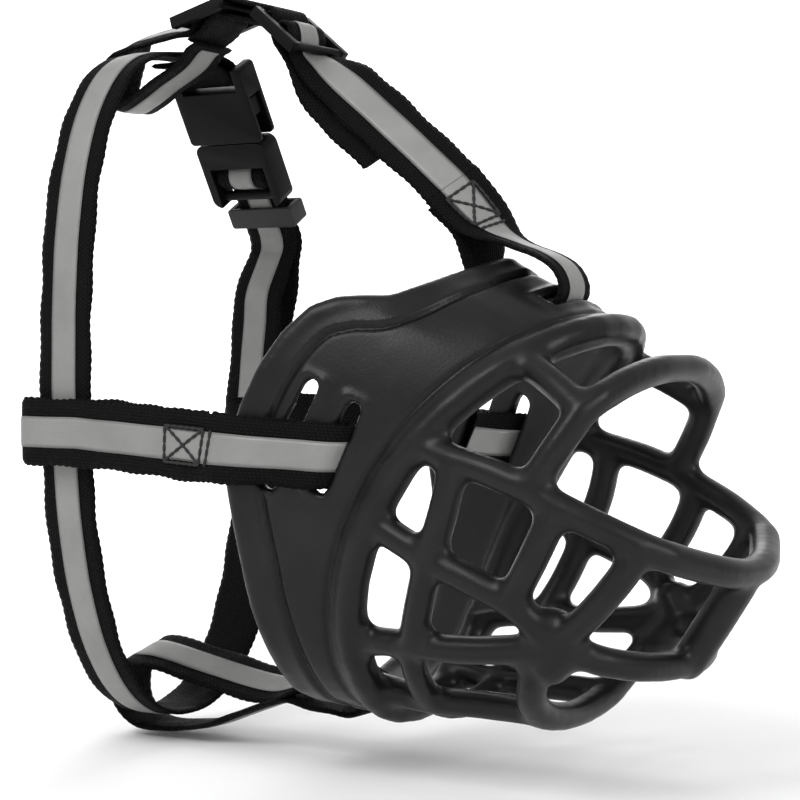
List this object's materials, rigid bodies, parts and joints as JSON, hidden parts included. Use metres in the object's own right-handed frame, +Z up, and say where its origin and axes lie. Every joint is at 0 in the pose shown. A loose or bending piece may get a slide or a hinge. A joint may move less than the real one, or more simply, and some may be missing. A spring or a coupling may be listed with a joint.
{
  "type": "basket muzzle",
  "caption": "Soft moulded basket muzzle for a large dog, with a webbing harness, a side-release buckle and two strap sliders.",
  "frame": {"origin": "centre of the main ring, where the snout enters the cage", "axes": "+X to the nose, +Y to the animal's left, +Z up when the head is level; the basket's own axis dips 25 degrees below +X"},
  "size_m": [0.2171, 0.1202, 0.2239],
  "materials": {
    "basket_rubber": "satin",
    "webbing": "matte",
    "reflective_tape": "satin",
    "thread": "matte",
    "hardware_plastic": "satin",
    "keeper_plastic": "matte"
  },
  "bodies": {
    "basket": {"cuff": "basket_rubber", "main_ring": "basket_rubber", "side_cage_left": "basket_rubber", "side_cage_right": "basket_rubber", "top_arch": "basket_rubber", "nose_bumper": "basket_rubber", "chin_guard": "basket_rubber", "lower_hoop": "basket_rubber", "neck_strap": "webbing", "neck_strap_end": "webbing", "cheek_strap_left": "webbing", "cheek_strap_right": "webbing", "forehead_loop": "webbing", "forehead_strap": "webbing", "crown_strap": "webbing", "chin_strap": "webbing", "neck_tape": "reflective_tape", "neck_tape_end": "reflective_tape", "cheek_tape_left": "reflective_tape", "cheek_tape_right": "reflective_tape", "loop_tape": "reflective_tape", "forehead_tape": "reflective_tape", "crown_tape": "reflective_tape", "chin_tape": "reflective_tape", "stitch_left": "thread", "stitch_right": "thread", "stitch_forehead": "thread", "stitch_chin": "thread", "buckle_socket": "hardware_plastic"},
    "plug": {"buckle_plug": "hardware_plastic"},
    "prong_front": {"prong_front": "hardware_plastic"},
    "prong_rear": {"prong_rear": "hardware_plastic"},
    "keeper": {"keeper": "keeper_plastic"},
    "sliders": {"slider_front": "hardware_plastic", "link_strap": "webbing", "slider_rear": "hardware_plastic"}
  },
  "joints": [
    {"name": "plug_slide", "type": "slide", "parent": "basket", "child": "plug", "axis": [0, 0.515, -0.8572], "range_m": [0, 0.026], "deforming": ["neck_strap_end", "neck_tape_end"]},
    {"name": "prong_front_bend", "type": "hinge", "parent": "plug", "child": "prong_front", "pos_m": [-0.0944, 0.03534, 0.10577], "axis": [0, 0.8572, 0.515], "range_deg": [-6, 0], "stiffness_Nm_per_rad": 0.6},
    {"name": "prong_rear_bend", "type": "hinge", "parent": "plug", "child": "prong_rear", "pos_m": [-0.1116, 0.03534, 0.10577], "axis": [0, 0.8572, 0.515], "range_deg": [0, 6], "stiffness_Nm_per_rad": 0.6},
    {"name": "keeper_slide", "type": "slide", "parent": "plug", "child": "keeper", "axis": [0, 0.515, -0.8572], "range_m": [0, 0.006]},
    {"name": "sliders_slide", "type": "slide", "parent": "basket", "child": "sliders", "axis": [0.766, 0, -0.6428], "range_m": [0, 0.01], "deforming": ["forehead_strap", "forehead_tape", "crown_strap", "crown_tape"]}
  ],
  "couplings": [
    {"joint": "prong_rear_bend", "follows": "prong_front_bend", "ratio": -1}
  ]
}
